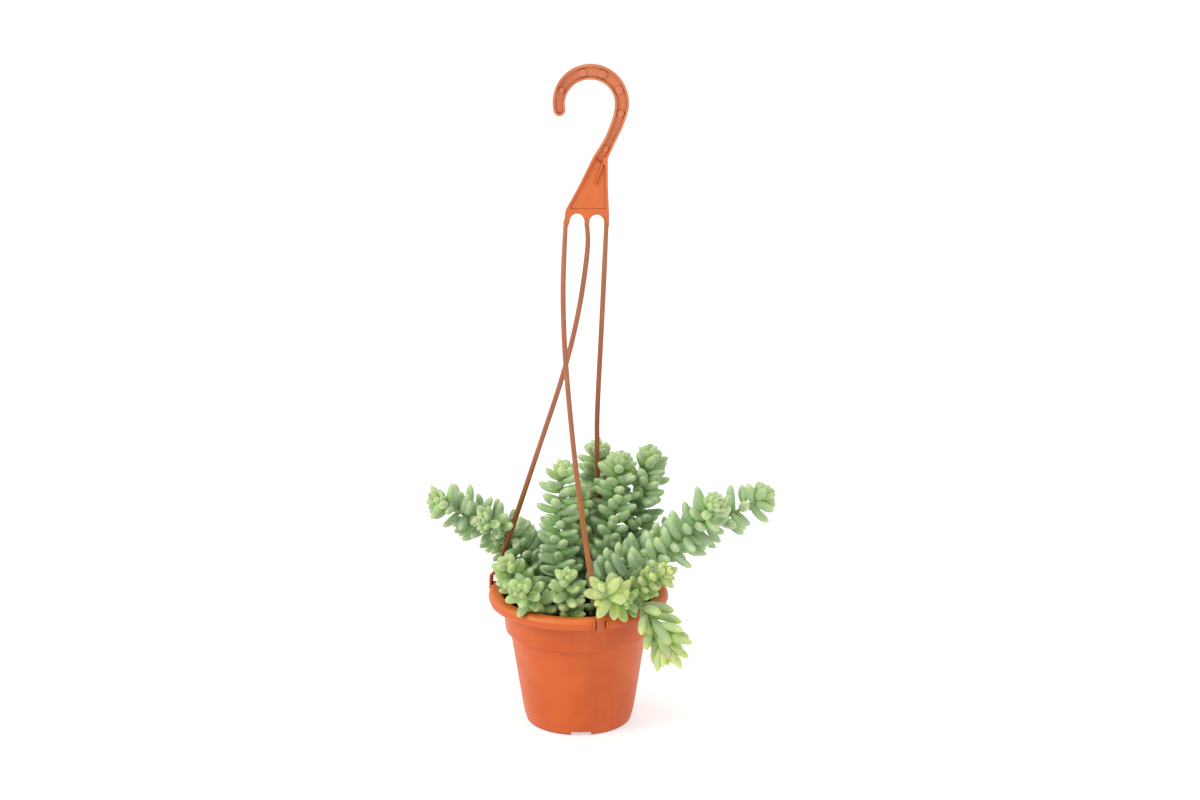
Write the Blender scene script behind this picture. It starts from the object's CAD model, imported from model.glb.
# Potted burro's tail in a plastic hanging pot: the fine shapes and the materials, built round the
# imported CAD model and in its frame. Lengths are in millimetres, as in the part's source; lamps, floor
# and shaders are in metres. +X is to the right and -Y to the front. Angles round the pot are in
# degrees from the front, growing towards the right.

from math import copysign, cos, hypot, inf, pi, radians, sin, sqrt

import bmesh
import bpy
import numpy as np
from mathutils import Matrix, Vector, noise


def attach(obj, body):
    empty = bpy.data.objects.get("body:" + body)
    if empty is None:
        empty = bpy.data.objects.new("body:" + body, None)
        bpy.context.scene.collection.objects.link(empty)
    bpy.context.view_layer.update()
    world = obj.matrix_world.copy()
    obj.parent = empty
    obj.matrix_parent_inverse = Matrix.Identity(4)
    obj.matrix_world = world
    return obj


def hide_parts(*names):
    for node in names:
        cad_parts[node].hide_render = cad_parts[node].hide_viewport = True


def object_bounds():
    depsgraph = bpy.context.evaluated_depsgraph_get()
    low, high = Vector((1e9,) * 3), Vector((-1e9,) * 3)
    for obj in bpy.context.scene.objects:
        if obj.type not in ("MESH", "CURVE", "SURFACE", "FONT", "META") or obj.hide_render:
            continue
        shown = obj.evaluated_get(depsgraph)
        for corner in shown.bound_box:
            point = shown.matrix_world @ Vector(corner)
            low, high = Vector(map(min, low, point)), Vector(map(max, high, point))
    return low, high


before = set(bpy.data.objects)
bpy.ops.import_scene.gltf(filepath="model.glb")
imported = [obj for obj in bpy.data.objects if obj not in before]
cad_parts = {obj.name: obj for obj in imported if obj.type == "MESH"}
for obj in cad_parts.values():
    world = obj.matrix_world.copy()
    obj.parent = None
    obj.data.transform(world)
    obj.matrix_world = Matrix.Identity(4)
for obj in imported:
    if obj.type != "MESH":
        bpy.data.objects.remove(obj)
cad_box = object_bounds()

MM = 0.001
BOX_LOW, BOX_HIGH = (np.array(corner) / MM for corner in cad_box)

# ---------------- driving dimensions

GAP = 0.3  # clearance between pieces that touch in the real object

# Pot. Pairs are (radius, height)
FLOOR_TOP = 4.6
WALL = 2
WALL_FOOT = (48.8, 15.5)
WALL_HEAD = (58.8, 80.2)
COLLAR_FOOT = (62.9, 82.2)
COLLAR_RADIUS = 65.6
RIM_RADIUS = 77.7
RIM_INNER = 66.6
RIM_TOP = 116
RIM_BOTTOM = 106
SKIRT = 1.9
RIM_BULGE = 111.5  # height at which the rim is widest
RIM_TAPER = 2.1  # how much narrower the rim is at its lower edge
POT_SEGMENTS = 240
CHANNELS = 4
CHANNEL = {"width": 18, "inner": 31, "outer": 54, "height": 3.2, "turn": 3}
DRAIN = {"radius": 3.5, "distance": 38}

# Soil
SOIL_TOP = 103
SOIL_EDGE = 1.5  # how far the soil's top falls at the pot's wall
SOIL_SWELL = 1.1
SOIL_LUMPS = ((1.3, 5, 3), (0.6, 1.8, 9))  # height, size and noise layer
SOIL_RINGS = 34
CRUMBS = 620
ROOT_DEPTH = 14

# Hanger
CLIP_ANGLES = {"front": 14, "back": 134, "left": -106}
STRAP = {"width": 6.4, "thickness": 1.8, "top": 121}
STRAP_INNER = RIM_RADIUS + GAP
STRAP_MIDDLE = STRAP_INNER + STRAP["thickness"] / 2
STRAP_OUTER = STRAP_INNER + STRAP["thickness"]
STRAP_HEM = 76.4  # distance of the strap's inner face at the rim's lower edge
FOOT = {"inner": 71.5, "thickness": 1.1}
GUIDE = {"width": 1.5, "gap": 1.3, "inner": 75, "hem": 77.5, "outer": 79.3, "bottom": 107, "top": 114}
ARM = {"half_at_plate": 1.82, "half": 2.15, "half_at_clip": 2.4, "half_thickness": 1.5}
ARM_TWIST = 6  # the higher, the nearer to its clip an arm turns to the rim
HOOK_THICKNESS = 6
PLATE_THICKNESS = 3.6
WEB = 2.2
BORDER = 1.9
HOOK_CENTRE = (10.7, 533.4)
HOOK_RADIUS = 25.7
HOOK_BEND = {"start": 192, "sweep": 198, "steps": 70, "halves": (4.8, 6.1, 5.7)}
HOOK_NECK = {"leave": (-1, -10), "arrive": (27.5, 503.5), "end": (17.6, 486.6), "steps": 36,
             "halves": (5.7, 4.5, 5.5)}
HOOK_BOSSES = ((0.12, 2.5), (0.29, 3.6), (0.415, 3.8), (0.56, 3.6), (0.72, 3.1), (0.93, 2.7))

# Leaves, as in the part's source
GOLDEN_ANGLE = 137.5
CROWN_STEP = 0.5  # spacing of the last leaves, as a share of the usual step
NECK_STEP = 2.2
LEAF_CURL = 0.14
SEED = {"first": 101, "step": 37}
LEAF_GROUP = 5
SOLID_LEAVES = (0, 2)  # the leaves of every group that the CAD model has too

# What leaves keep clear of: the soil, the collar, a ring inside the rim, balls along the arms and
# straps, and balls along every other leaf, as (share of its length, share of its width)
LEAF_CLEARANCE = 0.5
SOIL_CLEARANCE = 0.4
COLLAR_CLEARANCE = 1
RIM_CORE = {"inner": 69.4, "outer": 71.5, "z": 110, "radius": 6.4}
ARM_BALL = 2.3
BALL_STEP = 3
STRAP_BALL = {"radius": 5.4, "bottom": 102, "spacing": 3}
LEAF_BALLS = ((0.3, 0.88), (0.5, 1), (0.7, 0.98), (0.86, 0.8), (0.97, 0.4))

# Ways in which a leaf is bent when its own place is taken, tried in this order
BENDS = [(size, radians(lift), radians(swing)) for size in (1, 0.86, 0.72)
         for lift in (0, -18, 16, -34) for swing in (0, 13, -13, 26, -26)]

# Fine leaves: how far the last ones of a crown lean out and how small they are, those that hang
# below a stem, the second spiral, and the buds that close a crown
CROWN_TILT = 42
STAR_TILT = 32
HEART_SIZE = 0.84
UP_SIDE = 0.5  # a leaf that points further up than this is on top of its stem
LOW_SIDE = -0.4  # and one that points further down than this hangs below it
LOW_REACH = 1.12
LOW_WIDTH = 0.86
FILLING = {"turn": radians(68), "lift": radians(8), "size": 0.9}
BUD = {"leaves": 17, "depth": 5, "tilt": 62, "last_tilt": 6, "size": 0.66, "last_size": 0.42}
STAR_BUD = {"leaves": 8, "depth": 3, "tilt": 46, "last_tilt": 6, "size": 0.64, "last_size": 0.4}
YOUNG_CROWNS = 2.4  # the length with young leaves, in lengths of the crown
BLUNT = 0.45  # how pointed the youngest leaves of a blunt-leaved stem are

# A leaf's own form: rings as (share of the length, width, width of a pointed leaf against that)
LEAF_SIDES = 14
LEAF_RINGS = ((0, 0.36, 1), (0.1, 0.55, 1), (0.2, 0.74, 1), (0.3, 0.87, 1), (0.4, 0.95, 1),
              (0.5, 0.99, 1), (0.6, 1, 0.99), (0.7, 0.985, 0.95), (0.78, 0.93, 0.89),
              (0.86, 0.81, 0.8), (0.92, 0.63, 0.74), (0.96, 0.45, 0.7), (0.985, 0.27, 0.66))
LEAF_FORM = {"width": 0.95, "thickness": 0.8, "flat_side": 0.44, "full_side": 0.54}

ARM_ROUTES = {
    "front": [(-9.7, 0, 437), (-11.8, -8, 391), (-11.5, -16, 352), (-8.8, -26, 309),
              (-1.3, -44, 236), (11, -67, 151), (17.5, -74.5, 127)],
    "left": [(7.7, 0, 437), (8, 1, 411), (0.7, 4, 360), (-12.4, 7.7, 305), (-34, 12.5, 237),
             (-64, 19, 145), (-72.5, 21, 125)],
    "back": [(23.9, 0, 437), (20.8, 9.4, 366), (16.5, 25, 274), (16, 31, 240), (17, 40, 194),
             (23, 47.5, 166), (36, 52.5, 143), (50, 54, 127)],
}

# How a stem bears its leaves, unless the stem's own row says otherwise. first: height of the first
# leaf over the soil. step: from one leaf to the next. tilt: how far a leaf leans out. width: against
# its length. crown: last length of stem, over which leaves get smaller, down to the share heart.
# neck: a length below the crown where leaves are sparse. The rest is for the fine leaves alone.
# slender: width against the solid leaf's. pointed: from blunt to pointed. tone: darker or paler.
# top_reach: length of the leaves on top of the stem. apart: distances along the stem between which
# the lowest leaves hang apart. filled: last length of stem with a second spiral
HABIT = {"first": 5, "step": 2.1, "tilt": 82, "width": 0.54, "crown": 13, "heart": 0.66, "neck": 0,
         "slender": 1, "pointed": 0, "tone": 0, "top_reach": 1, "apart": (0, 0), "filled": 0}

GREY = "leaf_grey_green"
BLUE = "leaf_blue_green"
PALE = "leaf_pale_green"
BRIGHT = "leaf_bright_green"

# name, material slot, stem radius, leaf length, root, points that the stem passes, own habit
STEMS = [
    ("stem_right_long", GREY, 2.8, 20, (12, -24),
     [(14, -23, 118), (22, -21, 132), (44, -18, 148), (74, -14, 164), (103, -10, 174),
      (129, -6, 185), (146, -3, 193), (157, 0, 199)],
     {"neck": 15, "slender": 0.88, "tone": 0.25, "apart": (70, 158), "filled": 17}),
    ("stem_right_rosette", GREY, 2.6, 19, (28, -34),
     [(29, -35, 118), (36, -37, 130), (52, -38, 145), (75, -38, 163), (95, -38, 181),
      (108, -42, 196), (114, -49, 206)],
     {"slender": 0.88, "tone": 0.25, "apart": (60, 110), "top_reach": 1.2}),
    ("stem_left_long", GREY, 2.6, 19, (-34, 32),
     [(-36, 33, 116), (-44, 37, 130), (-56, 38, 142), (-69, 33, 156), (-89, 21, 171),
      (-107, 13, 184), (-119, 10, 192)],
     {"neck": 9, "slender": 0.8, "top_reach": 1.22, "filled": inf}),
    ("stem_left_short", GREY, 2.6, 18, (-24, 18),
     [(-25, 19, 116), (-36, 20, 131), (-49, 23, 148), (-61, 23, 160), (-72, 13, 170),
      (-82, -2, 178)], {"slender": 0.84, "tone": 0.2}),
    ("stem_up_left", BLUE, 2.8, 17.5, (-14, -16),
     [(-15, -15, 118), (-16, -8, 145), (-17, -3, 170), (-15, 4, 200), (-12, 9, 219)],
     {"slender": 0.93, "tone": 0.2}),
    ("stem_up_middle", BLUE, 2.8, 18.5, (22, -2),
     [(23, 0, 118), (26, 4, 141), (30, 14, 174), (33, 22, 204), (36, 25, 222)],
     {"slender": 0.93, "filled": inf}),
    ("stem_up_right", BLUE, 2.8, 18, (42, 10),
     [(43, 12, 118), (48, 20, 154), (54, 28, 183), (59, 32, 209), (61, 35, 225)],
     {"slender": 0.93, "filled": inf, "tone": -0.25}),
    ("stem_up_back", BLUE, 2.8, 18, (14, 46),
     [(15, 49, 118), (17, 54, 151), (18, 56, 179), (17, 58, 206), (16, 58, 223)],
     {"slender": 0.93, "filled": inf}),
    ("stem_front_left", PALE, 2.4, 17, (-36, -28),
     [(-37, -29, 116), (-46, -34, 130), (-53, -39, 140), (-59, -46, 151)], {"pointed": 0.5}),
    ("stem_front_left_low", PALE, 2.4, 17, (-28, -44),
     [(-29, -45, 116), (-37, -52, 127), (-44, -60, 133), (-48, -68, 138)], {"pointed": 0.5}),
    ("stem_front_middle", PALE, 2.4, 16, (-9, -50),
     [(-9, -51, 116), (-9, -56, 131), (-10, -62, 147)], {"first": 3, "pointed": 0.4, "tone": 0.3}),
    ("stem_bright_star", BRIGHT, 2.2, 17.5, (25, -50),
     [(28, -53, 116), (32, -66, 129), (28, -80, 138), (21, -92, 145)],
     {"first": 26, "step": 1.9, "tilt": 84, "crown": 3, "heart": 0.9, "pointed": 0.9}),
    ("stem_beside_star", PALE, 2.2, 13, (36, -42),
     [(38, -44, 116), (41, -55, 123), (41, -65, 129), (39, -73, 133)], {"pointed": 0.5}),
    ("stem_right_small", BRIGHT, 1.9, 14, (47, -31),
     [(47, -34, 116), (51, -45, 130), (58, -54, 140), (66, -60, 147), (74, -63, 153)],
     {"step": 2.4, "tilt": 66, "width": 0.5, "crown": 7}),
    ("stem_drooping", BRIGHT, 2, 25.5, (44, -20),
     [(44, -23, 114), (45, -38, 124), (48, -54, 129), (54, -66, 124), (62, -74, 115),
      (68, -80, 104), (74, -83, 93)],
     {"first": 58, "step": 2.2, "tilt": 54, "width": 0.36, "crown": 7, "heart": 0.8, "tone": 0.15}),
    ("stem_middle", BLUE, 2.6, 18, (0, 16),
     [(0, 17, 118), (-1, 18, 145), (0, 20, 172), (4, 24, 192)], {}),
    ("stem_back_left", GREY, 2.6, 18, (-22, 44),
     [(-24, 47, 116), (-34, 60, 126), (-47, 73, 134), (-58, 84, 141)], {}),
    ("stem_back_trailing", GREY, 2.6, 18, (-5, 50),
     [(-5, 54, 116), (-5, 68, 127), (-6, 84, 124), (-8, 95, 108), (-9, 99, 88), (-8, 100, 72)], {}),
    ("stem_back_right", GREY, 2.6, 18, (42, 33),
     [(45, 36, 116), (54, 42, 127), (68, 52, 140), (84, 63, 150)], {}),
    ("stem_left_inner", PALE, 2.2, 14, (-46, 2),
     [(-48, 3, 115), (-55, 5, 128), (-62, 7, 139)], {}),
]

# ---------------- camera, light and floor

CAMERA = {"at": (18.5, -1865.2, 783.8), "down": 15, "lens": 68.96, "sensor": 36}
CLIPPING = (0.05, 50)
SKY = 0.8
FLOOR = {"size": 30, "drop": 0.0006, "white": 0.62, "glow": 0.53}

# place, aim, diameter and power of each lamp
LAMPS = {
    "key": ((-2.4, -1.3, 2.0), (0, 0, 0.15), 1.1, 46),
    "fill": ((2.2, -1.6, 1.0), (0, 0, 0.2), 1.6, 5),
    "top": ((0.2, 0.3, 2.6), (0, 0, 0.2), 1.6, 18),
}


def linked(name, data):
    made = bpy.data.objects.new(name, data)
    bpy.context.scene.collection.objects.link(made)
    return made


def make_camera():
    data = bpy.data.cameras.new("camera")
    data.lens = CAMERA["lens"]
    data.sensor_width = CAMERA["sensor"]
    data.clip_start, data.clip_end = CLIPPING
    camera = linked("camera", data)
    camera.location = Vector(CAMERA["at"]) * MM
    camera.rotation_euler = (radians(90 - CAMERA["down"]), 0, 0)
    bpy.context.scene.camera = camera


def make_studio():
    world = bpy.data.worlds.new("studio")
    bpy.context.scene.world = world
    world.use_nodes = True
    background = world.node_tree.nodes["Background"]
    background.inputs["Color"].default_value = (1, 1, 1, 1)
    background.inputs["Strength"].default_value = SKY
    for name, (place, aim, diameter, power) in LAMPS.items():
        data = bpy.data.lights.new(name, "AREA")
        data.shape = "DISK"
        data.size = diameter
        data.energy = power
        lamp = linked(name, data)
        lamp.location = place
        lamp.rotation_euler = (Vector(aim) - Vector(place)).to_track_quat("-Z", "Y").to_euler()
    bpy.context.scene.view_settings.view_transform = "Standard"


def make_floor():
    bpy.ops.mesh.primitive_plane_add(size=FLOOR["size"], location=(0, 0, -FLOOR["drop"]))
    floor = bpy.context.object
    floor.name = "floor"
    tree = Tree("floor_white")
    tree.set({"Base Color": (FLOOR["white"],) * 3, "Roughness": 0.9, "Specular IOR Level": 0.1,
              "Emission Color": (1, 1, 1), "Emission Strength": FLOOR["glow"]})
    floor.data.materials.append(tree.material)


# ---------------- materials

# Colours as they show on a screen, from 0 to 255
POT_COLOURS = {"main": (201, 88, 20), "deep": (192, 79, 14), "pale": (211, 106, 42),
               "rubbed": (236, 138, 66), "groove": (116, 42, 16)}
HANGER_COLOURS = {"clip": (188, 82, 36), "arm_low": (150, 94, 36), "arm": (158, 97, 66),
                  "arm_behind": (138, 72, 46), "plate": (214, 106, 44), "hook": (208, 120, 76),
                  "cloud": (168, 80, 44), "streak": (214, 140, 104), "groove": (114, 40, 15)}
LEAF_MARKS = {"dusky": (190, 150, 112), "bloom": (186, 205, 182), "speckle": (194, 212, 178),
              "fleck": (104, 138, 66)}
SOIL_TONES = [(0.3, (0.006, 0.004, 0.003)), (0.55, (0.022, 0.014, 0.009)), (0.8, (0.07, 0.045, 0.027))]
CRUMB_TONE = (0.11, 0.065, 0.035)

# Material, colours of a leaf's root, body and tip, colour of young leaves, and how dusky tips are
LEAF_COLOURS = {
    GREY: ("leaf_grey", (132, 158, 100), (153, 181, 132), (178, 197, 136), (170, 194, 128), 0.5),
    BLUE: ("leaf_blue", (124, 154, 96), (149, 181, 126), (178, 198, 136), (172, 196, 126), 0.6),
    PALE: ("leaf_pale", (114, 142, 80), (136, 167, 104), (177, 196, 118), (168, 192, 116), 0),
    BRIGHT: ("leaf_bright", (146, 168, 90), (165, 187, 115), (197, 208, 116), (199, 214, 118), 0),
}

RUBBED_RIM = (0.1108, 0.1136, 0.36)  # heights between which the rim gets paler, and how pale

# Heights, or distances behind the pot's axis, over which the hanger's colour changes
CLIP_END = (0.119, 0.128)
LEAFY_END = (0.19, 0.26)
PLATE_START = (0.425, 0.447)
HOOK_START = (0.48, 0.51)
BEHIND = (0.004, 0.03)


def srgb(colour):
    """Linear colour from display values"""
    shares = [value / 255 for value in colour]
    return tuple(share / 12.92 if share <= 0.04045 else ((share + 0.055) / 1.055) ** 2.4 for share in shares)


def palette(colours):
    return {name: srgb(colour) for name, colour in colours.items()}


class Tree:
    """A material's node tree, with its Principled shader"""

    def __init__(self, name):
        self.material = bpy.data.materials.new(name)
        self.material.use_nodes = True
        self.tree = self.material.node_tree
        self.shader = self.tree.nodes["Principled BSDF"]

    def feed(self, socket, value):
        """Links a socket to another one, or sets its number or colour"""
        if isinstance(value, bpy.types.NodeSocket):
            self.tree.links.new(value, socket)
        elif socket.type == "RGBA":
            socket.default_value = (*value, 1)
        else:
            socket.default_value = value

    def set(self, sockets):
        for name, value in sockets.items():
            self.feed(self.shader.inputs[name], value)

    def node(self, kind, inputs=(), output=0, **settings):
        made = self.tree.nodes.new("ShaderNode" + kind)
        for key, value in settings.items():
            setattr(made, key, value)
        for key, value in dict(inputs).items():
            self.feed(made.inputs[key], value)
        return made.outputs[output]

    def place(self):
        return self.node("TexCoord", output="Object")

    def along(self, axis):
        return self.node("SeparateXYZ", {"Vector": self.place()}, output=axis)

    def noise(self, scale, detail, roughness, stretch=None):
        vector = self.place()
        if stretch:
            vector = self.node("Mapping", {"Vector": vector, "Scale": stretch})
        inputs = {"Vector": vector, "Scale": scale, "Detail": detail, "Roughness": roughness}
        return self.node("TexNoise", inputs, output="Fac")

    def attribute(self, name):
        return self.node("Attribute", output="Fac", attribute_name=name)

    def ramp(self, factor, stops):
        made = self.tree.nodes.new("ShaderNodeValToRGB")
        elements = made.color_ramp.elements
        while len(elements) < len(stops):
            elements.new(0.5)
        for element, (position, colour) in zip(elements, stops):
            element.position = position
            element.color = (*colour, 1)
        self.feed(made.inputs["Fac"], factor)
        return made.outputs["Color"]

    def range(self, value, low, high, to_low=0.0, to_high=1.0):
        inputs = {"Value": value, "From Min": low, "From Max": high, "To Min": to_low, "To Max": to_high}
        return self.node("MapRange", inputs, interpolation_type="SMOOTHSTEP")

    def multiply(self, a, b):
        return self.node("Math", {0: a, 1: b}, operation="MULTIPLY")

    def blend(self, factor, a, b, mode="MIX"):
        return self.node("Mix", {0: factor, 6: a, 7: b}, 2, data_type="RGBA", blend_type=mode)

    def cover(self, base, colour, mask, low, high, least=0.0, most=1.0):
        """The base with a colour over it, from the least to the most as the mask goes from low to high"""
        return self.blend(self.range(mask, low, high, least, most), base, colour)

    def corners(self, reach):
        """1 in the open, towards 0 in grooves and inner corners"""
        return self.node("AmbientOcclusion", {"Distance": reach}, output="AO", samples=8)

    def bump(self, height, strength, distance):
        return self.node("Bump", {"Height": height, "Strength": strength, "Distance": distance})


def pot_plastic():
    """Moulded satin plastic: cloudy colour, faint flow streaks, dust, and a rubbed, paler rim"""
    tree = Tree("pot_terracotta_plastic")
    colours = palette(POT_COLOURS)
    clouds = tree.noise(22, 4, 0.6)
    base = tree.cover(colours["main"], colours["deep"], clouds, 0.35, 0.7)
    base = tree.cover(base, colours["pale"], tree.noise(60, 2, 0.5, (1, 1, 0.12)), 0.52, 0.8, 0, 0.18)
    base = tree.cover(base, colours["pale"], tree.noise(900, 2, 0.5), 0.66, 0.74, 0, 0.25)
    low, high, most = RUBBED_RIM
    base = tree.cover(base, colours["rubbed"], tree.along("Z"), low, high, 0, most)
    base = tree.cover(base, colours["groove"], tree.corners(0.003), 0.3, 0.93, 0.9, 0)
    tree.set({"Base Color": base, "Roughness": tree.range(clouds, 0.3, 0.75, 0.4, 0.52),
              "Specular IOR Level": 0.42, "Normal": tree.bump(tree.noise(1500, 2, 0.5), 0.12, 0.0002)})
    return tree.material


def hanger_plastic():
    """The pot's plastic, browner along the thin arms and paler in the hook"""
    tree = Tree("hanger_terracotta_plastic")
    colours = palette(HANGER_COLOURS)
    height = tree.along("Z")
    arms = tree.cover(colours["arm_low"], colours["arm"], height, *LEAFY_END)
    arms = tree.cover(arms, colours["arm_behind"], tree.along("Y"), *BEHIND, 0, 0.75)
    lower = tree.cover(colours["clip"], arms, height, *CLIP_END)
    upper = tree.cover(colours["plate"], colours["hook"], height, *HOOK_START)
    base = tree.cover(lower, upper, height, *PLATE_START)
    clouds = tree.noise(40, 4, 0.6)
    base = tree.cover(base, colours["cloud"], clouds, 0.35, 0.75, 0, 0.4)
    base = tree.cover(base, colours["streak"], tree.noise(120, 3, 0.6, (1, 1, 0.08)), 0.5, 0.8, 0, 0.35)
    base = tree.cover(base, colours["groove"], tree.corners(0.0016), 0.35, 0.88, 0.9, 0)
    tree.set({"Base Color": base, "Roughness": tree.range(clouds, 0.3, 0.75, 0.38, 0.5),
              "Specular IOR Level": 0.45, "Normal": tree.bump(tree.noise(1500, 2, 0.5), 0.12, 0.0002)})
    return tree.material


def leaf_material(name, root, body, tip, young, blush):
    """Waxy leaf: colour from root to tip, paler young leaves, dusky tips here and there, bloom"""
    tree = Tree(name)
    root, body, tip, young = (srgb(colour) for colour in (root, body, tip, young))
    marks = palette(LEAF_MARKS)
    share, tone, youth = (tree.attribute(key) for key in ("share", "tone", "youth"))
    along = tree.ramp(share, [(0.12, root), (0.42, body), (0.74, body), (0.93, tip), (1, tip)])
    fresh = tree.ramp(share, [(0.1, root), (0.45, young), (1, tip)])
    colour = tree.blend(tree.multiply(youth, 0.8), along, fresh)
    dusky = tree.multiply(tree.range(share, 0.92, 1), tree.range(tone, 0.55, 0.95))
    dusky = tree.multiply(dusky, tree.range(youth, 0, 0.6, 0.3 * blush, blush))
    colour = tree.blend(dusky, colour, marks["dusky"])
    shade = tree.range(tone, -0.5, 1.5, 0.73, 1.24)
    grey = tree.node("CombineColor", {0: shade, 1: shade, 2: shade})
    colour = tree.blend(1.0, colour, grey, "MULTIPLY")
    patches = tree.noise(170, 4, 0.65)
    colour = tree.cover(colour, marks["bloom"], patches, 0.4, 0.75, 0, 0.3)
    speckle = tree.noise(800, 3, 0.7)
    colour = tree.cover(colour, marks["speckle"], speckle, 0.5, 0.7, 0, 0.35)
    colour = tree.cover(colour, marks["fleck"], speckle, 0.28, 0.45, 0.3, 0)
    tint = tree.cover((1.2, 1.3, 0.86), (0.93, 0.91, 1.0), tree.corners(0.008), 0.2, 0.9)
    colour = tree.blend(1.0, colour, tint, "MULTIPLY")
    tree.set({"Base Color": colour, "Roughness": tree.range(patches, 0.3, 0.8, 0.42, 0.6),
              "Specular IOR Level": 0.35, "Sheen Weight": 0.45, "Sheen Roughness": 0.45,
              "Subsurface Weight": 0.5, "Subsurface Radius": (0.6, 1, 0.4), "Subsurface Scale": 0.006,
              "Normal": tree.bump(tree.noise(700, 3, 0.6), 0.15, 0.0003)})
    return tree.material


def soil_material():
    """Damp potting mix: dark fibres with browner crumbs"""
    tree = Tree("potting_mix")
    fibres = tree.ramp(tree.noise(420, 6, 0.7), SOIL_TONES)
    colour = tree.cover(fibres, CRUMB_TONE, tree.attribute("tone"), 0.6, 1, 0, 0.6)
    tree.set({"Base Color": colour, "Roughness": 0.95, "Specular IOR Level": 0.15,
              "Normal": tree.bump(tree.noise(900, 4, 0.7), 0.7, 0.001)})
    return tree.material


# ---------------- mesh helpers


class Shape:
    """Points in millimetres, faces, and values for each point, gathered from smaller shapes"""

    def __init__(self):
        self.points, self.faces, self.values = [], [], {}

    def add(self, points, faces, **values):
        """Adds a shape. A value is a list for its points or one number for all of them"""
        low = len(self.points)
        self.points += points
        self.faces += [tuple(low + k for k in face) for face in faces]
        for name, value in values.items():
            each = value if isinstance(value, list) else [value] * len(points)
            self.values.setdefault(name, []).extend(each)

    def piece(self, name, material):
        mesh = new_mesh(name, self.points, self.faces)
        for key, values in self.values.items():
            layer = mesh.attributes.new(key, "FLOAT", "POINT")
            layer.data.foreach_set("value", np.asarray(values, np.float32))
        mesh.materials.append(material)
        mesh.polygons.foreach_set("use_smooth", [True] * len(mesh.polygons))
        return linked(name, mesh)


def new_mesh(name, points, faces):
    mesh = bpy.data.meshes.new(name)
    mesh.from_pydata((np.asarray(points, float) * MM).tolist(), [], faces)
    return mesh


def declare(piece, slot, *nodes):
    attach(piece, "root")
    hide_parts(*nodes)


def mix(a, b, t):
    return (1 - t) * a + t * b


def arc(middle, radii, angles):
    """Points of an ellipse, at angles in degrees"""
    turns = [radians(angle) for angle in angles]
    return [(middle[0] + radii[0] * cos(turn), middle[1] + radii[1] * sin(turn)) for turn in turns]


def rounded(corners, steps=5):
    """Outline with its corners rounded: each corner is (u, v, length cut from its sides)"""
    points = []
    for i, (u, v, cut) in enumerate(corners):
        corner = Vector((u, v))
        if cut == 0:
            points.append((u, v))
            continue
        before = Vector(corners[i - 1][:2]) - corner
        after = Vector(corners[(i + 1) % len(corners)][:2]) - corner
        start = corner + before.normalized() * min(cut, before.length * 0.48)
        end = corner + after.normalized() * min(cut, after.length * 0.48)
        for k in range(steps + 1):
            t = k / steps
            point = start * (1 - t) ** 2 + corner * 2 * t * (1 - t) + end * t ** 2
            points.append((point.x, point.y))
    return points


def around(count):
    """Each number round a ring, with the next one"""
    return [(k, (k + 1) % count) for k in range(count)]


def ring_faces(rings, count, first, foot, tip):
    """Faces between rings of points, from the point with number first, closed at a foot and a tip"""
    faces = []
    for k, after in around(count):
        faces.append((foot, first + after, first + k))
        for low in range(first, first + (rings - 1) * count, count):
            faces.append((low + k, low + after, low + count + after, low + count + k))
        last = first + (rings - 1) * count
        faces.append((last + k, last + after, tip))
    return faces


def lathe(profile, segments):
    """Points and faces of a profile turned round the axis; it starts and ends on the axis"""
    points = [(0, 0, profile[0][1])]
    for radius, z in profile[1:-1]:
        for k in range(segments):
            angle = 2 * pi * k / segments
            points.append((radius * sin(angle), -radius * cos(angle), z))
    points.append((0, 0, profile[-1][1]))
    return points, ring_faces(len(profile) - 2, segments, 1, 0, len(points) - 1)


def prism(outline, low, high, place):
    """Closed prism: an outline of (u, v) points and a thickness, placed by place(u, v, w)"""
    count = len(outline)
    points = [place(u, v, low) for u, v in outline] + [place(u, v, high) for u, v in outline]
    faces = [tuple(range(count - 1, -1, -1)), tuple(range(count, 2 * count))]
    faces += [(k, after, count + after, count + k) for k, after in around(count)]
    return points, faces


def upright(u, v, w):
    return (u, w, v)


def lengthwise(u, v, w):
    return (w, u, v)


def round_pot(distance, across, z, angle):
    """Point at a distance from the pot's axis and off to one side, at an angle round the pot"""
    turn = radians(angle)
    return (distance * sin(turn) + across * cos(turn),
            -distance * cos(turn) + across * sin(turn), z)


def radial(angle):
    """Places an outline of distances and heights, with its thickness to the sides"""
    return lambda distance, z, across: round_pot(distance, across, z, angle)


def facing(angle):
    """Places an outline seen from outside the pot, with its thickness towards the axis"""
    return lambda across, z, distance: round_pot(distance, across, z, angle)


def level(middle, angle):
    """Places a level outline at a distance from the axis, with its thickness upwards"""
    return lambda outwards, across, z: round_pot(middle + outwards, across, z, angle)


def solid(name, shape):
    """A working object from points and faces, with its faces turned outwards"""
    mesh = new_mesh(name, *shape)
    work = bmesh.new()
    work.from_mesh(mesh)
    bmesh.ops.recalc_face_normals(work, faces=work.faces)
    work.to_mesh(mesh)
    work.free()
    return linked(name, mesh)


def settle(piece):
    """Turns a piece's modifiers into its mesh"""
    evaluated = piece.evaluated_get(bpy.context.evaluated_depsgraph_get())
    mesh = bpy.data.meshes.new_from_object(evaluated)
    piece.modifiers.clear()
    piece.data = mesh


def combine(piece, operation, others):
    """Boolean of a piece with others, which are used up"""
    for other in others:
        modifier = piece.modifiers.new("boolean", "BOOLEAN")
        modifier.operation = operation
        modifier.solver = "EXACT"
        modifier.object = other
    settle(piece)
    for other in others:
        bpy.data.objects.remove(other)


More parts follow.
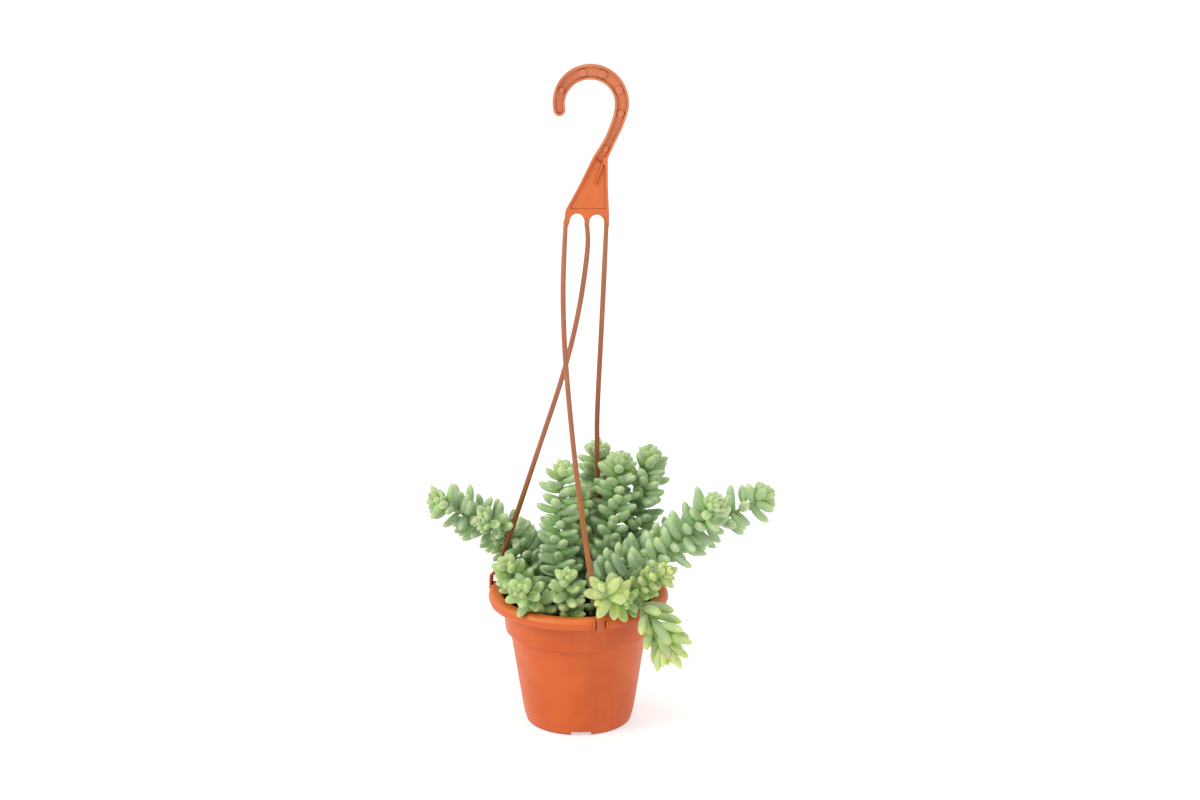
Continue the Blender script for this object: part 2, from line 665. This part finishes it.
def bevel(piece, width):
    """Rounds every edge that is sharper than 38 degrees"""
    modifier = piece.modifiers.new("bevel", "BEVEL")
    modifier.width = width * MM
    modifier.segments = 2
    modifier.limit_method = "ANGLE"
    modifier.angle_limit = radians(38)
    settle(piece)


def smooth_by_angle(piece, angle):
    """Smooth shading, with sharp edges where faces meet at more than an angle"""
    mesh = piece.data
    mesh.polygons.foreach_set("use_smooth", [True] * len(mesh.polygons))
    work = bmesh.new()
    work.from_mesh(mesh)
    for edge in work.edges:
        edge.smooth = edge.calc_face_angle(0) < radians(angle)
    work.to_mesh(mesh)
    work.free()


def join(name, pieces, material):
    """One piece out of several working objects"""
    work = bmesh.new()
    for piece in pieces:
        work.from_mesh(piece.data)
        bpy.data.objects.remove(piece)
    mesh = bpy.data.meshes.new(name)
    work.to_mesh(mesh)
    work.free()
    mesh.materials.append(material)
    return linked(name, mesh)


# ---------------- routes


def random_from(seed):
    """Park-Miller numbers from 0 to 1, as in the part's source"""
    state = seed

    def draw():
        nonlocal state
        state = (state * 16807) % 2147483647
        return state / 2147483647
    return draw


def unit(vector):
    return vector / sqrt(vector @ vector)


def square_to(tangent, side):
    """The unit vector nearest to a side that is square to the tangent"""
    return unit(side - tangent * (side @ tangent))


def curve_through(points, rings):
    """Catmull-Rom points, a number of them for each stretch between two control points"""
    points = [np.array(point, float) for point in points]
    stretches = len(points) - 1
    ends = [2 * points[0] - points[1], *points, 2 * points[-1] - points[-2]]
    made = []
    for k in range(rings * stretches + 1):
        at = stretches * (k / (rings * stretches))
        i = min(int(at), stretches - 1)
        t = at - i
        before, start, end, after = ends[i:i + 4]
        leave, arrive = (end - before) / 2, (after - start) / 2
        made.append(start + leave * t + (3 * (end - start) - 2 * leave - arrive) * t ** 2
                    + (2 * (start - end) + leave + arrive) * t ** 3)
    return made


class Route:
    """Positions along a line, with distances from the start, tangents and one side direction"""

    def __init__(self, points, rings, lead=()):
        self.places = [np.array(point, float) for point in lead] + curve_through(points, rings)
        self.distances = [0.0]
        for before, after in zip(self.places, self.places[1:]):
            step = after - before
            self.distances.append(self.distances[-1] + sqrt(step @ step))
        last = len(self.places) - 1
        self.tangents = [unit(self.places[min(i + 1, last)] - self.places[max(i - 1, 0)])
                         for i in range(last + 1)]
        if lead:
            for i in range(len(lead) + 1):
                self.tangents[i] = np.array((0.0, 0.0, 1.0))
        self.length = self.distances[-1]
        side = np.array((1.0, 0.0, 0.0))
        self.sides = []
        for tangent in self.tangents:
            side = square_to(tangent, side)
            self.sides.append(side)

    def frame(self, distance):
        """Place, tangent, side and normal at a distance"""
        i = min(np.searchsorted(self.distances[1:], distance), len(self.distances) - 2)
        share = (distance - self.distances[i]) / (self.distances[i + 1] - self.distances[i])
        tangent = unit(mix(self.tangents[i], self.tangents[i + 1], share))
        side = square_to(tangent, mix(self.sides[i], self.sides[i + 1], share))
        return mix(self.places[i], self.places[i + 1], share), tangent, side, np.cross(side, tangent)


def tube(route, section, size_at):
    """Closed tube with rounded ends: a section of unit points, scaled by size_at(share of the route)"""
    count = len(section)
    narrow = (0.5, 0.85)
    stations = [(0.0, size) for size in narrow]
    stations += [(distance, 1.0) for distance in route.distances]
    stations += [(route.length, size) for size in narrow[::-1]]
    points = []
    for distance, size in stations:
        place, tangent, side, normal = route.frame(distance)
        wide, thick = size_at(distance / route.length)
        if size < 1:
            out = min(wide, thick) * sqrt(1 - size * size)
            place = place + tangent * (out if distance > 0 else -out)
        for across, up in section:
            points.append(place + side * across * wide * size + normal * up * thick * size)
    rings = len(stations)
    faces = [tuple(range(count)), tuple(range((rings - 1) * count, rings * count))[::-1]]
    for low in range(0, (rings - 1) * count, count):
        faces += [(low + k, low + count + k, low + count + after, low + after) for k, after in around(count)]
    return points, faces


def round_section(count, square=2.0):
    """Unit circle, or a rounded square for a power above 2"""
    section = []
    for u, v in arc((0, 0), (1, 1), [360 * k / count for k in range(count)]):
        section.append((copysign(abs(u) ** (2 / square), u), copysign(abs(v) ** (2 / square), v)))
    return section


# ---------------- pot


def inner_corners(inset, cut):
    """Inside of the pot from under the rim to the middle of its floor, moved in by an inset"""
    return [
        (COLLAR_RADIUS - WALL - inset, RIM_BOTTOM, cut),
        (COLLAR_FOOT[0] - WALL - inset, COLLAR_FOOT[1] + WALL + inset, cut),
        (WALL_HEAD[0] - WALL - inset, WALL_HEAD[1] + inset / 2, cut),
        (WALL_FOOT[0] - WALL - inset, WALL_FOOT[1] + inset, 3 * cut),
        (WALL_FOOT[0] - 2 * WALL - inset, FLOOR_TOP + inset, cut),
        (0, FLOOR_TOP + inset, 0),
    ]


def pot_corners():
    outside = [
        (0, 0, 0), (45.2, 0, 0.8), (46, 2.6, 3), (47.7, 9, 5), (*WALL_FOOT, 6), (*WALL_HEAD, 0.8),
        (*COLLAR_FOOT, 0.7),
    ]
    under_rim = [
        (COLLAR_RADIUS + 0.4, RIM_TOP - 3.2, 0.6), (RIM_RADIUS - SKIRT - 1.7, RIM_TOP - 2.6, 0.8),
        (RIM_RADIUS - SKIRT - 0.4, RIM_TOP - 5.4, 1), (RIM_RADIUS - SKIRT - 1.8, RIM_BOTTOM, 0.5),
    ]
    over_rim = [
        (RIM_RADIUS - RIM_TAPER, RIM_BOTTOM, 0.7), (RIM_RADIUS, RIM_BULGE, 2.2),
        (RIM_RADIUS - 1.9, RIM_TOP - 1.2, 2.2), (RIM_RADIUS - 4, RIM_TOP, 1.6),
        (RIM_INNER + 2.4, RIM_TOP, 1.4), (RIM_INNER, RIM_TOP - 1, 1), (RIM_INNER - 2, RIM_TOP - 4, 1.5),
    ]
    return [*outside, *under_rim, *over_rim, *inner_corners(0, 1.2)]


def drainage():
    """What is cut from the pot's base: a channel and a hole at each of several angles"""
    half, height = CHANNEL["width"] / 2, CHANNEL["height"]
    channel = rounded([(-half, -2, 0), (half, -2, 0), (half - 0.6, height, 1.2), (0.6 - half, height, 1.2)])
    hole = arc((0, 0), (DRAIN["radius"],) * 2, range(0, 360, 12))
    cutters = []
    for i in range(CHANNELS):
        angle = CHANNEL["turn"] + 360 * i / CHANNELS
        shape = prism(channel, CHANNEL["inner"], CHANNEL["outer"], facing(angle))
        cutters.append(solid("channel", shape))
        cutters.append(solid("drain", prism(hole, 1, 2 * FLOOR_TOP, level(DRAIN["distance"], angle))))
    return cutters


def rim_guides():
    """A thin upright guide on the rim at each side of every clip"""
    inner, outer, top, half = GUIDE["inner"], GUIDE["outer"], GUIDE["top"], GUIDE["width"] / 2
    outline = [(inner, GUIDE["bottom"]), (GUIDE["hem"], GUIDE["bottom"]), (outer, RIM_BULGE),
               (outer, top - 0.8), (outer - 0.8, top), (inner, top)]
    offset = STRAP["width"] / 2 + GUIDE["gap"] + half
    guides = []
    for angle in CLIP_ANGLES.values():
        for middle in (-offset, offset):
            guides.append(solid("guide", prism(outline, middle - half, middle + half, radial(angle))))
            bevel(guides[-1], 0.3)
    return guides


def make_pot(material):
    pot = solid("pot_lathe", lathe(rounded(pot_corners()), POT_SEGMENTS))
    combine(pot, "DIFFERENCE", drainage())
    piece = join("pot_fine", [pot, *rim_guides()], material)
    smooth_by_angle(piece, 35)
    declare(piece, "pot_plastic", "pot")


# ---------------- soil


def swell(x, y):
    """Slow waves of the soil's top"""
    return SOIL_SWELL * sin(x / 11 + 0.6) * cos(y / 13 - 0.4)


def soil_plug(edge):
    """Points and faces of the plug that fills the pot, with an uneven top out to its edge"""
    outline = [(0, FLOOR_TOP + GAP, 0), *inner_corners(GAP, 1)[1:-1][::-1]]
    shares = [1 - k / SOIL_RINGS for k in range(SOIL_RINGS + 1)]
    top = [(edge * share, SOIL_TOP - SOIL_EDGE * share ** 2) for share in shares]
    points, faces = lathe(rounded(outline, 3) + top, 120)
    uneven = []
    for x, y, z in points:
        if z > SOIL_TOP - 2 and hypot(x, y) < edge - 1:
            z += swell(x, y)
            for height, size, layer in SOIL_LUMPS:
                z += height * noise.noise(Vector((x / size, y / size, layer)))
        uneven.append((x, y, z))
    return uneven, faces


def crumb_points(random, ball, edge):
    """Points of one crumb pressed into the soil's top, and its tone"""
    angle, distance = 2 * pi * random(), (edge - 3) * sqrt(random())
    x, y = distance * cos(angle), distance * sin(angle)
    z = SOIL_TOP + swell(x, y) + 0.3 - SOIL_EDGE * (distance / edge) ** 4
    size = 0.7 + 1.5 * random() ** 2
    long, flat, tone = 0.8 + random(), 0.5 + 0.4 * random(), random()
    turn = pi * random()
    points = []
    for u, v, w in ball:
        rough = size * (1 + 0.35 * noise.noise(Vector((u * 2 + x, v * 2 + y, w * 2))))
        u, v, w = u * long * rough, v * rough, w * flat * rough
        points.append((x + u * cos(turn) - v * sin(turn),
                       y + u * sin(turn) + v * cos(turn), z + w))
    return points, tone


def make_soil(material):
    """Filled plug with an uneven top, and loose crumbs pressed into it"""
    random = random_from(7)
    edge = COLLAR_RADIUS - WALL - GAP - 0.2
    shape = Shape()
    shape.add(*soil_plug(edge), tone=0)
    work = bmesh.new()
    bmesh.ops.create_icosphere(work, subdivisions=1, radius=1)
    ball = [tuple(vertex.co) for vertex in work.verts]
    ball_faces = [tuple(vertex.index for vertex in face.verts) for face in work.faces]
    work.free()
    for _ in range(CRUMBS):
        points, tone = crumb_points(random, ball, edge)
        shape.add(points, ball_faces, tone=tone)
    declare(shape.piece("soil_fine", material), "soil", "soil")


# ---------------- hanger


def hook_line():
    """Middle line of the hook from its tip, over the bend and down the neck: x, z and half width"""
    line = []
    for t in np.linspace(0, 1, HOOK_BEND["steps"] + 1):
        place, = arc(HOOK_CENTRE, (HOOK_RADIUS,) * 2, [HOOK_BEND["start"] - HOOK_BEND["sweep"] * t])
        line.append((*place, np.interp(t, (0, 0.5, 1), HOOK_BEND["halves"])))
    start = np.array(line[-1][:2])
    leave, arrive, end = (np.array(HOOK_NECK[key]) for key in ("leave", "arrive", "end"))
    for t in np.linspace(0, 1, HOOK_NECK["steps"] + 1)[1:]:
        place = ((1 - t) ** 3 * start + 3 * (1 - t) ** 2 * t * (start + leave)
                 + 3 * (1 - t) * t ** 2 * arrive + t ** 3 * end)
        line.append((*place, np.interp(t, (0, 2 / 3, 1), HOOK_NECK["halves"])))
    return np.array(line)


def hook_outline(inset):
    """The hook's outline, moved in by an inset, with a round tip"""
    line = hook_line()
    middle, halves = line[:, :2], line[:, 2:] - inset
    along = np.gradient(middle, axis=0)
    along /= np.linalg.norm(along, axis=1)[:, None]
    across = np.column_stack((-along[:, 1], along[:, 0])) * halves
    tip_angles = [HOOK_BEND["start"] + 180 * k / 16 for k in range(1, 16)]
    return [*(middle - across), *(middle + across)[::-1], *arc(middle[0], [*halves[0]] * 2, tip_angles)]


def arch(left, right, spring, top):
    """Inner points of an arch from its left spring over the top to its right one"""
    radii = ((right - left) / 2, top - spring)
    return arc(((left + right) / 2, spring), radii, [180 * (1 - k / 20) for k in range(1, 20)])


def plate_outline():
    return [
        (12.9, 489.4), (6.7, 476.6), (0.1, 463.5), (-4.2, 455.6), (-8.3, 448.2), (-9.6, 445.6),
        (-10.2, 443.5), (-11.3, 432), (-7.8, 432), (-6.5, 436), *arch(-6.5, 5.7, 436, 442.9),
        (5.7, 436), (5.8, 432), (9.6, 432), (9.9, 436), *arch(9.9, 21.8, 436, 442.1), (21.8, 436),
        (22, 432), (25.9, 432), (26, 442.3), (24.9, 466.7), (24.9, 488.7),
    ]


PLATE_PANEL = rounded([(14.2, 488, 0), (2.2, 463.6, 4), (-5.9, 448.9, 1), (-5.5, 446.8, 1),
                       (23.2, 446.8, 0.8), (22.6, 466.7, 1), (22.6, 484, 2)])
PLATE_RIDGE = rounded([(23.4, 490, 0), (14.6, 466.4, 0.5), (13.4, 466.9, 0.5), (20.6, 486, 0),
                       (21.6, 490, 0)])


def make_bosses():
    """Round ejector marks on both sides of the hook's web: share of its middle line, and radius"""
    line, half = hook_line(), WEB / 2 + 0.8
    bosses = []
    for share, radius in HOOK_BOSSES:
        x, z, _ = line[round(share * (len(line) - 1))]
        ring = arc((x, z), (radius, radius), range(0, 360, 10))
        bosses.append(solid("boss", prism(ring, -half, half, upright)))
        bevel(bosses[-1], 0.25)
    return bosses


def make_handle():
    """The hook and its plate: one body, thinner at the plate, with sunk webs on both sides"""
    half, thin = HOOK_THICKNESS / 2, PLATE_THICKNESS / 2
    body = solid("handle", prism(hook_outline(0), -half, half, upright))
    combine(body, "UNION", [solid("plate", prism(plate_outline(), -half, half, upright))])
    taper = [(-thin, 400), (thin, 400), (thin, 450), (half + 0.1, 486), (half + 0.1, 600),
             (-half - 0.1, 600), (-half - 0.1, 486), (-thin, 450)]
    combine(body, "INTERSECT", [solid("taper", prism(taper, -120, 120, lengthwise))])
    sinks = []
    for low, high in ((WEB / 2, half + 1), (-half - 1, -WEB / 2)):
        for outline in (hook_outline(BORDER), PLATE_PANEL):
            sink = solid("sink", prism(outline, low, high, upright))
            combine(sink, "DIFFERENCE", [solid("ridge", prism(PLATE_RIDGE, low - 1, high + 1, upright))])
            sinks.append(sink)
    combine(body, "DIFFERENCE", sinks)
    bevel(body, 0.32)
    return [body, *make_bosses()]


def make_clip(angle):
    """A strap over the rim's outside with a foot under its skirt, and a rib along the strap"""
    foot_top = RIM_BOTTOM - GAP
    foot_bottom = foot_top - FOOT["thickness"]
    half = STRAP["width"] / 2
    strap = rounded([
        (STRAP_HEM + 0.8, foot_bottom, 0.4), (STRAP_HEM + STRAP["thickness"], foot_top + 0.6, 0.8),
        (STRAP_OUTER, RIM_BULGE, 1.5), (STRAP_OUTER, STRAP["top"], 1), (STRAP_INNER - 0.4, STRAP["top"], 0.4),
        (STRAP_INNER, RIM_TOP - 1, 1), (STRAP_INNER, RIM_BULGE, 1.2), (STRAP_HEM, foot_top, 0.2),
        (FOOT["inner"], foot_top, 0.3), (FOOT["inner"], foot_bottom, 0.3),
    ], 3)
    rib_outer = STRAP_OUTER + 0.7
    rib = [(STRAP_HEM + 1.3, RIM_BOTTOM + 1), (STRAP_HEM + STRAP["thickness"] + 0.9, RIM_BOTTOM + 2),
           (rib_outer, RIM_BULGE), (rib_outer, STRAP["top"] - 3), (STRAP_OUTER - 0.5, STRAP["top"] - 1),
           (STRAP_OUTER - 0.5, RIM_BULGE)]
    made = [solid("strap", prism(strap, -half, half, radial(angle))),
            solid("rib", prism(rib, -0.9, 0.9, radial(angle)))]
    for piece in made:
        bevel(piece, 0.3)
    return made


def arm_route(place, rings):
    """Route of an arm from the plate down into its strap, with its flat face turning to the rim"""
    angle = CLIP_ANGLES[place]
    top = round_pot(STRAP_MIDDLE - 0.3, 0, STRAP["top"], angle)
    end = round_pot(STRAP_MIDDLE, 0, RIM_TOP, angle)
    route = Route([*ARM_ROUTES[place], top, end], rings)
    across = np.array(round_pot(1, 0, 0, angle + 90))
    if across[0] < 0:
        across = -across
    route.sides = []
    for tangent, distance in zip(route.tangents, route.distances):
        side = mix(np.array((1.0, 0.0, 0.0)), across, (distance / route.length) ** ARM_TWIST)
        route.sides.append(square_to(tangent, side))
    return route


def arm_size(share):
    """Half width and half thickness of an arm, which widens below the plate and again to its clip"""
    wide = mix(ARM["half"], ARM["half_at_clip"], min(1, max(0, (share - 0.6) / 0.3)))
    return mix(ARM["half_at_plate"], wide, min(1, share * 9)), ARM["half_thickness"]


def make_hanger(material):
    pieces = make_handle()
    for place, angle in CLIP_ANGLES.items():
        pieces.append(solid("arm", tube(arm_route(place, 12), round_section(16, 2.5), arm_size)))
        pieces += make_clip(angle)
    piece = join("hanger_fine", pieces, material)
    smooth_by_angle(piece, 40)
    declare(piece, "hanger_plastic", "hanger")


# ---------------- leafy stems


def balls_along(route, radius):
    return [(route.frame(distance)[0], radius) for distance in range(0, int(route.length) + 1, BALL_STEP)]


def outward(stem, distance, turn):
    """Direction square to a stem, at a turn round it"""
    _, _, side, normal = stem["route"].frame(distance)
    return side * cos(turn) + normal * sin(turn)


def leaf_at(stem, distance, turn, tilt, size):
    place, tangent = stem["route"].frame(distance)[:2]
    out = outward(stem, distance, turn)
    return {"base": place, "axis": tangent * cos(tilt) + out * sin(tilt),
            "up": tangent * sin(tilt) - out * cos(tilt),
            "width": stem["leaf"] * stem["width"] * mix(0.75, 1, size) * min(1, size + 0.25),
            "length": stem["leaf"] * size + stem["radius"], "distance": distance}


def leaf_point(leaf, share):
    """Point on the middle line of a leaf, which curls up towards its tip"""
    return (leaf["base"] + leaf["axis"] * (leaf["length"] * share)
            + leaf["up"] * (LEAF_CURL * leaf["length"] * share * share))


def leaf_balls(leaf):
    return [(leaf_point(leaf, share), leaf["width"] / 2 * width) for share, width in LEAF_BALLS]


def clear_of_pot(centre, radius):
    distance = hypot(centre[0], centre[1])
    beside = max(RIM_CORE["inner"] - distance, 0, distance - RIM_CORE["outer"])
    if hypot(beside, centre[2] - RIM_CORE["z"]) < radius + RIM_CORE["radius"]:
        return False
    if distance < COLLAR_RADIUS:
        return centre[2] - radius > SOIL_TOP + SOIL_SWELL + SOIL_CLEARANCE
    return centre[2] > RIM_BOTTOM or distance - radius > COLLAR_RADIUS + COLLAR_CLEARANCE


def inside_box(centre, radius):
    """Whether a ball is inside the CAD model's own box"""
    return bool(np.all(centre - radius > BOX_LOW) and np.all(centre + radius < BOX_HIGH))


def is_clear(leaf, centres, radii):
    """Whether a leaf keeps to the box, off the pot and off the balls of other pieces"""
    own = leaf_balls(leaf)
    return (all(inside_box(*ball) and clear_of_pot(*ball) for ball in own)
            and all(np.all(np.sqrt(((centres - centre) ** 2).sum(1)) > radius + radii + LEAF_CLEARANCE)
                    for centre, radius in own))


def grow(stem, places, balls):
    """Adds leaves at these places. One that would touch another piece is bent clear or left out"""
    others = [ball for owner in balls if owner != stem["name"] for ball in balls[owner]]
    centres, radii = (np.array(values) for values in zip(*others))
    made = []
    for distance, turn, tilt, size in places:
        for smaller, lift, swing in BENDS:
            leaf = leaf_at(stem, distance, turn + swing, tilt + lift, size * smaller)
            if is_clear(leaf, centres, radii):
                made.append(leaf)
                break
    stem["leaves"] += made
    balls[stem["name"]] += [ball for leaf in made for ball in leaf_balls(leaf)]


def hangs(stem, distance, turn):
    """Whether a leaf sits where the leaves below its stem hang apart"""
    first, last = stem["apart"]
    return first < distance < last and outward(stem, distance, turn)[2] < LOW_SIDE


def reach(stem, distance, turn):
    """Length of a leaf against the rest, which is more on top of some stems and below others"""
    if hangs(stem, distance, turn):
        return LOW_REACH
    return stem["top_reach"] if outward(stem, distance, turn)[2] > UP_SIDE else 1


def spiral(stem):
    """Every leaf of a stem's spiral, before it is bent clear: distance, turn, tilt and size"""
    random = random_from(stem["seed"])
    route, crown = stem["route"], stem["crown"]
    distance, i, places = ROOT_DEPTH + stem["first"], 0, []
    crown_tilt, heart = (STAR_TILT, 1) if stem["pointed"] else (CROWN_TILT, HEART_SIZE)
    while distance < route.length:
        rest = route.length - distance
        fullness = min(1, rest / crown)
        turn = radians(GOLDEN_ANGLE * i + 30 * (random() - 0.5))
        tilt = radians(mix(crown_tilt, stem["tilt"], sqrt(fullness)) + 20 * (random() - 0.5))
        size = mix(heart * stem["heart"], 1, fullness) * (0.88 + 0.2 * random())
        places.append((distance, turn, tilt, size * reach(stem, distance, turn)))
        sparse = crown < rest < crown + stem["neck"]
        distance += stem["step"] * (NECK_STEP if sparse else mix(CROWN_STEP, 1, fullness))
        i += 1
    return places


def filling(stem):
    """A second, sparser spiral of smaller leaves between those of the first"""
    first = stem["route"].length - stem["filled"]
    places = []
    for (distance, turn, tilt, size), after in zip(stem["spiral"][1::2], stem["spiral"][2::2]):
        turn += FILLING["turn"]
        if distance > first and not hangs(stem, distance, turn):
            places.append(((distance + after[0]) / 2, turn, tilt - FILLING["lift"], size * FILLING["size"]))
    return places


def bud(stem):
    """Small upright leaves that close the heart of a stem's crown"""
    length, before = stem["route"].length, len(stem["spiral"])
    form = STAR_BUD if stem["pointed"] else BUD
    places = []
    for j in range(form["leaves"]):
        share = j / (form["leaves"] - 1)
        places.append((length - form["depth"] * (1 - share), radians(GOLDEN_ANGLE * (before + j)),
                       radians(mix(form["tilt"], form["last_tilt"], share)),
                       mix(form["size"], form["last_size"], share)))
    return places


def grow_all(stems):
    """Leaves of all stems: first those that the CAD model has too, then the ones between"""
    balls = {"hanger": []}
    for place, angle in CLIP_ANGLES.items():
        balls["hanger"] += balls_along(arm_route(place, 2), ARM_BALL)
        balls["hanger"] += [(np.array(round_pot(STRAP_MIDDLE, 0, z, angle)), STRAP_BALL["radius"])
                            for z in range(STRAP_BALL["bottom"], STRAP["top"], STRAP_BALL["spacing"])]
    for stem in stems:
        balls[stem["name"]] = balls_along(stem["route"], stem["radius"])
    for stem in stems:
        stem["spiral"] = spiral(stem)
        shared = [place for i, place in enumerate(stem["spiral"]) if i % LEAF_GROUP in SOLID_LEAVES]
        grow(stem, shared, balls)
    for stem in stems:
        between = [place for i, place in enumerate(stem["spiral"]) if i % LEAF_GROUP not in SOLID_LEAVES]
        grow(stem, [place for place in between if not hangs(stem, *place[:2])], balls)
        grow(stem, filling(stem), balls)
        grow(stem, bud(stem), balls)


def refine(stem, leaf):
    """Youth, point and width of a leaf, once all leaves have their places"""
    rest = stem["route"].length - leaf["distance"]
    youth = max(0, 1 - rest / (YOUNG_CROWNS * stem["crown"]))
    leaf["point"] = stem["pointed"] or BLUNT * youth
    leaf["youth"] = max(youth, stem["pointed"])
    leaf["width"] *= stem["slender"]
    if leaf["axis"][2] < LOW_SIDE and leaf["distance"] < stem["apart"][1]:
        leaf["width"] *= LOW_WIDTH


def leaf_mesh(leaf):
    """Points, faces and shares of one plump leaf, flatter on the side that faces the stem's tip"""
    side = np.cross(leaf["axis"], leaf["up"])
    width, thick = leaf["width"] * LEAF_FORM["width"], leaf["width"] * LEAF_FORM["thickness"]
    points, shares = [], []
    for share, wide, pointed in LEAF_RINGS:
        wide *= mix(1, pointed, leaf["point"])
        middle = leaf_point(leaf, share)
        for k in range(LEAF_SIDES):
            angle = 2 * pi * k / LEAF_SIDES
            rise = sin(angle)
            rise *= LEAF_FORM["flat_side"] if rise > 0 else LEAF_FORM["full_side"]
            points.append(middle + side * (0.5 * width * wide * cos(angle))
                          + leaf["up"] * (thick * wide * rise))
            shares.append(share)
    points += [leaf_point(leaf, 0), leaf_point(leaf, 1)]
    shares += [0, 1]
    foot, tip = len(points) - 2, len(points) - 1
    return points, ring_faces(len(LEAF_RINGS), LEAF_SIDES, 0, foot, tip), shares


def make_stem(stem, material):
    """The stem itself and all its leaves, as one piece"""
    line = Route(stem["points"], 6, [stem["bottom"]])
    shape = Shape()
    bare = tube(line, round_section(10), lambda share: (stem["radius"] * mix(0.95, 0.5, share),) * 2)
    shape.add(*bare, share=0.15, tone=0.5, youth=0)
    random = random_from(stem["seed"] + 5000)
    for leaf in stem["leaves"]:
        refine(stem, leaf)
        points, faces, shares = leaf_mesh(leaf)
        shape.add(points, faces, share=shares, tone=random() + stem["tone"], youth=leaf["youth"])
    declare(shape.piece(stem["name"] + "_fine", material), stem["slot"], stem["name"])


def make_plant():
    stems = []
    for i, (name, slot, radius, leaf, root, path, own) in enumerate(STEMS):
        points = [(*root, SOIL_TOP + 1), *path]
        bottom = (*root, SOIL_TOP - ROOT_DEPTH)
        stems.append({"name": name, "slot": slot, "radius": radius, "leaf": leaf, "points": points,
                      "bottom": bottom, "route": Route(points, 1, [bottom]), "leaves": [],
                      "seed": SEED["first"] + SEED["step"] * i, **HABIT, **own})
    grow_all(stems)
    materials = {slot: leaf_material(*looks) for slot, looks in LEAF_COLOURS.items()}
    for stem in stems:
        make_stem(stem, materials[stem["slot"]])


# ---------------- the whole

make_camera()
make_studio()
make_floor()
make_pot(pot_plastic())
make_soil(soil_material())
make_hanger(hanger_plastic())
make_plant()
